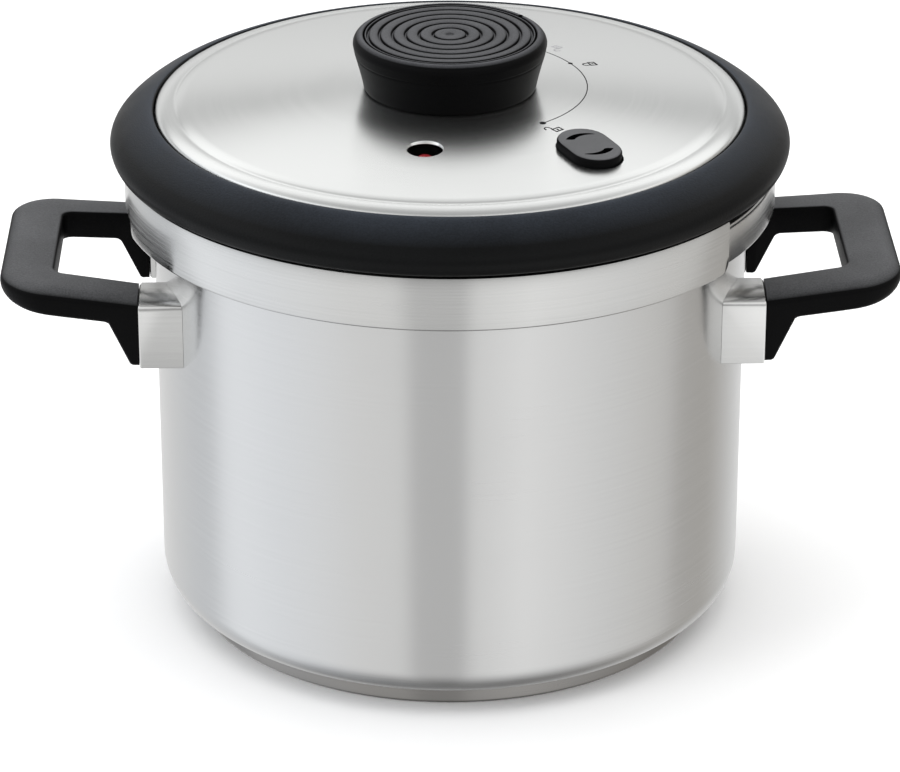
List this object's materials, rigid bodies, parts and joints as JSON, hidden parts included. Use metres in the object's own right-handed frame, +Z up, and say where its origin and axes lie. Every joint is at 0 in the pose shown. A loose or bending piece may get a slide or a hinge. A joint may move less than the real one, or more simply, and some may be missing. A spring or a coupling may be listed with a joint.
{
  "type": "pressure canner",
  "caption": "Straight-sided steel pressure canner with loop handles, a jar rack, and a clamp lid whose top knob drives sliding jaws.",
  "frame": {"origin": "middle of the face the pot stands on, on the pot's axis", "axes": "+Z up along the pot's axis, +X through the right-hand handle, -Y towards the front"},
  "size_m": [0.3618, 0.2732, 0.2454],
  "materials": {
    "body_steel": "satin brushed stainless steel",
    "polished_steel": "smooth satin stainless steel",
    "plain_steel": "plain pressed steel",
    "aluminium": "mill finish",
    "brass": "turned",
    "black_plastic": "fine grained, heat resistant",
    "soft_touch": "soft touch with moulded grooves",
    "seal_rubber": "silicone",
    "red_plastic": "smooth"
  },
  "bodies": {
    "pot": {"pot_body": "body_steel", "base_cap": "polished_steel", "base_core": "aluminium", "right_grip": "black_plastic", "left_grip": "black_plastic", "right_front_bracket": "body_steel", "right_back_bracket": "body_steel", "left_front_bracket": "body_steel", "left_back_bracket": "body_steel", "right_front_screw": "plain_steel", "right_back_screw": "plain_steel", "left_front_screw": "plain_steel", "left_back_screw": "plain_steel"},
    "rack": {"jar_rack": "aluminium"},
    "lid": {"lid_plate": "plain_steel", "gasket": "seal_rubber", "lid_ring": "black_plastic", "lid_cover": "body_steel", "ring_stud_1": "plain_steel", "ring_stud_2": "plain_steel", "ring_stud_3": "plain_steel", "ring_stud_4": "plain_steel", "ring_screw_1": "plain_steel", "ring_screw_2": "plain_steel", "ring_screw_3": "plain_steel", "ring_screw_4": "plain_steel", "front_arm_guide": "plain_steel", "back_arm_guide": "plain_steel", "shaft_bush": "brass", "indicator_sleeve": "seal_rubber", "release_seat": "brass", "release_seat_nut": "plain_steel", "valve_body": "brass", "valve_cap": "brass", "valve_nut": "plain_steel"},
    "knob": {"knob_body": "black_plastic", "knob_cap": "soft_touch", "knob_shaft": "plain_steel", "shaft_clip": "plain_steel", "knob_screw": "plain_steel", "cam_plate": "plain_steel"},
    "front_jaw": {"front_jaw": "body_steel", "front_slider_arm": "plain_steel", "front_follower_pin": "plain_steel"},
    "back_jaw": {"back_jaw": "body_steel", "back_slider_arm": "plain_steel", "back_follower_pin": "plain_steel"},
    "indicator": {"indicator_pin": "red_plastic"},
    "release": {"release_button": "black_plastic", "release_poppet": "plain_steel", "release_spring": "plain_steel"},
    "valve": {"valve_piston": "plain_steel", "valve_spring": "plain_steel"}
  },
  "joints": [
    {"name": "lid_lift", "type": "slide", "parent": "pot", "child": "lid", "axis": [0, 0, 1], "range_m": [0, 0.1]},
    {"name": "rack_lift", "type": "slide", "parent": "pot", "child": "rack", "axis": [0, 0, 1], "range_m": [0, 0.14]},
    {"name": "knob_turn", "type": "hinge", "parent": "lid", "child": "knob", "pos_m": [0, 0, 0.2234], "axis": [0, 0, 1], "range_deg": [-76, 0]},
    {"name": "front_jaw_slide", "type": "slide", "parent": "lid", "child": "front_jaw", "axis": [-0.1754, -0.9845, 0], "range_m": [0, 0.01051]},
    {"name": "back_jaw_slide", "type": "slide", "parent": "lid", "child": "back_jaw", "axis": [0.1754, 0.9845, 0], "range_m": [0, 0.01051]},
    {"name": "indicator_rise", "type": "slide", "parent": "lid", "child": "indicator", "axis": [0, 0, 1], "range_m": [0, 0.006]},
    {"name": "release_press", "type": "slide", "parent": "lid", "child": "release", "axis": [0, 0, -1], "range_m": [0, 0.002], "stiffness_N_per_m": 400, "springref_m": -0.006, "deforming": ["release_spring"]},
    {"name": "valve_lift", "type": "slide", "parent": "lid", "child": "valve", "axis": [0, 0, 1], "range_m": [0, 0.0015], "stiffness_N_per_m": 500, "springref_m": -0.0044, "deforming": ["valve_spring"]}
  ],
  "couplings": [
    {"joint": "front_jaw_slide", "follows": "knob_turn", "m_per_rad": -0.0079159},
    {"joint": "back_jaw_slide", "follows": "knob_turn", "m_per_rad": -0.0079159}
  ]
}
